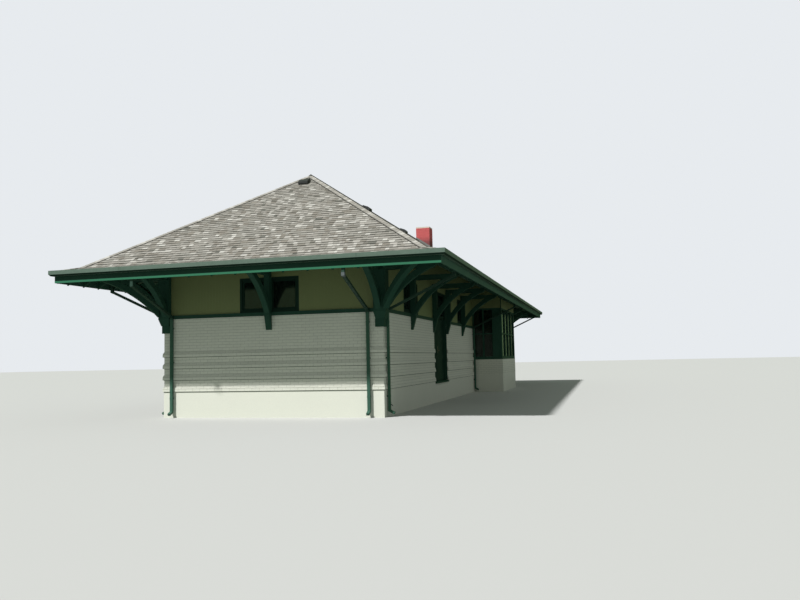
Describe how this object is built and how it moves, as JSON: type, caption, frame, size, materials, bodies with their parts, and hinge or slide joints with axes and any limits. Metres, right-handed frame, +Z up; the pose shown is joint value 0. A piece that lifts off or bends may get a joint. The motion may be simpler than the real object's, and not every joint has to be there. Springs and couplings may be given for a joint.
{
  "type": "railway station building",
  "caption": "Long single-storey railway station with lipped masonry walls, high windows, a track-side bay, hinged doors and a hipped roof on curved timber brackets.",
  "frame": {"origin": "centre of the plan, eaves included, at ground level", "axes": "+X towards the tracks, +Y along the building away from the end with the first windows, +Z up"},
  "size_m": [10.17, 26.745, 7.56],
  "materials": {
    "wall_paint": "matte paint on brick",
    "concrete": "trowelled",
    "frieze_paint": "matte paint",
    "trim_green": "satin paint",
    "door_green": "satin paint",
    "shingle": "mineral granules",
    "gutter_metal": "satin",
    "vent_metal": "matte",
    "chimney_paint": "matte paint on brick",
    "glass": "clear"
  },
  "bodies": {
    "building": {"near_end_wall": "wall_paint", "far_end_wall": "wall_paint", "track_wall": "wall_paint", "street_wall": "wall_paint", "bay_front_wall": "wall_paint", "bay_side_walls": "wall_paint", "floor": "concrete", "bay_floor": "concrete", "door_bases": "concrete", "door_sills": "concrete", "end_friezes": "frieze_paint", "track_frieze": "frieze_paint", "street_frieze": "frieze_paint", "headers": "frieze_paint", "bay_panels": "frieze_paint", "belt_course": "trim_green", "corner_posts": "trim_green", "corner_corbels": "trim_green", "wall_pendants": "trim_green", "curved_braces": "trim_green", "outrigger_beams": "trim_green", "side_eave_purlins": "trim_green", "end_eave_purlins": "trim_green", "side_fascias": "trim_green", "end_fascias": "trim_green", "rafter_tails": "trim_green", "hip_rafters": "trim_green", "eave_sprockets": "trim_green", "window_frames": "trim_green", "bay_windows": "trim_green", "bay_posts": "trim_green", "door_jambs": "trim_green", "door_transoms": "trim_green", "street_door_leaves": "door_green", "track_roof_slope": "shingle", "street_roof_slope": "shingle", "near_end_roof_slope": "shingle", "far_end_roof_slope": "shingle", "side_eave_flares": "shingle", "end_eave_flares": "shingle", "hip_caps": "shingle", "ridge_cap": "shingle", "side_gutters": "gutter_metal", "end_gutters": "gutter_metal", "gutter_leaders": "gutter_metal", "downspouts": "gutter_metal", "roof_vents": "vent_metal", "chimney": "chimney_paint", "window_glass": "glass", "bay_glass": "glass"},
    "near_leaf": {"near_door_leaf": "door_green"},
    "far_leaf": {"far_door_leaf": "door_green"}
  },
  "joints": [
    {"name": "near_leaf_hinge", "type": "hinge", "parent": "building", "child": "near_leaf", "pos_m": [2.875, -5.37543, 1.7175], "axis": [0, 0, 1], "range_deg": [0, 90]},
    {"name": "far_leaf_hinge", "type": "hinge", "parent": "building", "child": "far_leaf", "pos_m": [2.875, -3.48143, 1.7175], "axis": [0, 0, -1], "range_deg": [0, 90]}
  ]
}
